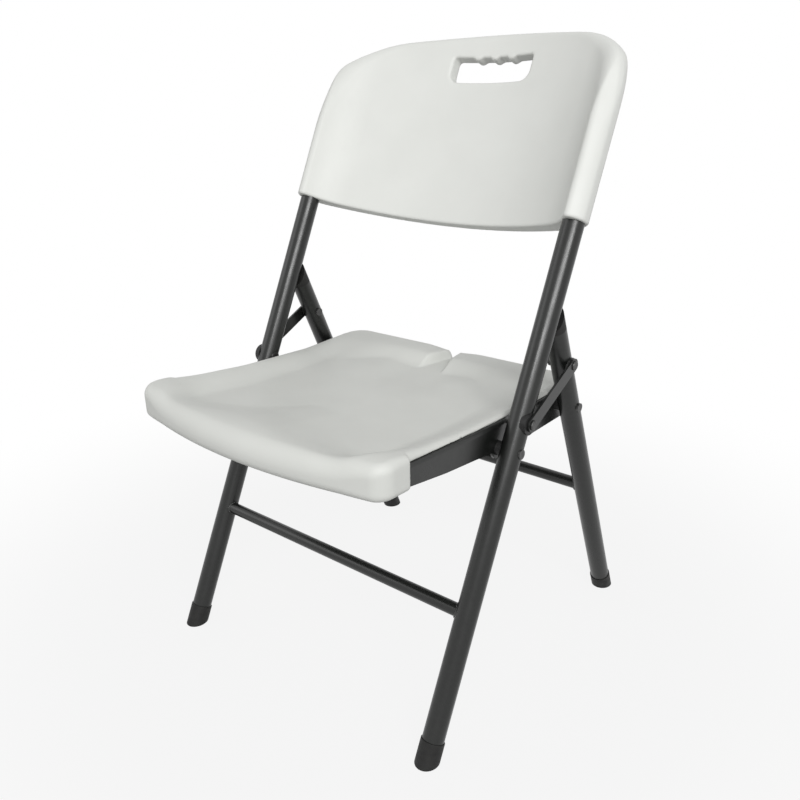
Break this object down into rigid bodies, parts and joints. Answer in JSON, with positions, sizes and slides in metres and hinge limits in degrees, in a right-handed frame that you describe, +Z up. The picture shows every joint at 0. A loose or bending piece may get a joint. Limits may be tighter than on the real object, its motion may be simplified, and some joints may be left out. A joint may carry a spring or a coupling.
{
  "type": "folding chair",
  "caption": "Folding chair with leaning steel tube frames, a moulded curved back with a hand slot and a dished seat that folds up between the front tubes.",
  "frame": {"origin": "on the floor, at the middle of the chair's width and depth", "axes": "+Z up, the sitter faces -Y, +X to the sitter's left"},
  "size_m": [0.4708, 0.5473, 0.8015],
  "materials": {
    "back_plastic": "off-white, finely textured",
    "seat_plastic": "off-white, finely textured",
    "black_plastic": "black, matt",
    "nylon": "black, matt",
    "rivet_steel": "dark zinc plating",
    "frame_paint": "charcoal powder coat, satin"
  },
  "bodies": {
    "front_frame": {"front_tube_left": "frame_paint", "front_tube_right": "frame_paint", "front_foot_left": "black_plastic", "front_foot_right": "black_plastic", "seat_pivot_left": "rivet_steel", "seat_pivot_right": "rivet_steel", "seat_pivot_spacer_left": "nylon", "seat_pivot_spacer_right": "nylon", "link_pivot_left": "rivet_steel", "link_pivot_right": "rivet_steel", "link_washer_left": "nylon", "link_washer_right": "nylon", "front_crossbar": "frame_paint", "backrest": "back_plastic", "backrest_screws": "rivet_steel"},
    "seat": {"seat_panel": "seat_plastic", "seat_brace_front": "frame_paint", "seat_brace_rear": "frame_paint", "seat_screws": "rivet_steel", "seat_rail_left": "frame_paint", "seat_rail_right": "frame_paint"},
    "rear_frame": {"rear_leg_left": "frame_paint", "rear_leg_right": "frame_paint", "rear_foot_left": "black_plastic", "rear_foot_right": "black_plastic", "rear_leg_cap_left": "black_plastic", "rear_leg_cap_right": "black_plastic", "rear_pivot_left": "rivet_steel", "rear_pivot_right": "rivet_steel", "rear_pivot_spacer_left": "nylon", "rear_pivot_spacer_right": "nylon", "leg_stud_left": "rivet_steel", "leg_stud_right": "rivet_steel", "rear_crossbar": "frame_paint"},
    "link_left": {"link_left": "frame_paint", "link_end_left": "rivet_steel"},
    "link_right": {"link_right": "frame_paint", "link_end_right": "rivet_steel"}
  },
  "joints": [
    {"name": "seat_fold", "type": "hinge", "parent": "front_frame", "child": "seat", "pos_m": [0, -0.03506, 0.337], "axis": [-1, 0, 0], "range_deg": [0, 109.65]},
    {"name": "rear_frame_fold", "type": "hinge", "parent": "seat", "child": "rear_frame", "pos_m": [0, 0.1043, 0.3505], "axis": [1, 0, 0], "range_deg": [0, 60.25]},
    {"name": "link_left_swing", "type": "hinge", "parent": "front_frame", "child": "link_left", "pos_m": [0.215, -0.01928, 0.3695], "axis": [-1, 0, 0], "range_deg": [0, 126.16]},
    {"name": "link_right_swing", "type": "hinge", "parent": "front_frame", "child": "link_right", "pos_m": [-0.215, -0.01928, 0.3695], "axis": [-1, 0, 0], "range_deg": [0, 126.16]}
  ],
  "couplings": [
    {"joint": "rear_frame_fold", "follows": "seat_fold", "ratio": 0.54946},
    {"joint": "link_left_swing", "follows": "seat_fold", "ratio": 1.1506},
    {"joint": "link_right_swing", "follows": "seat_fold", "ratio": 1.1506}
  ]
}
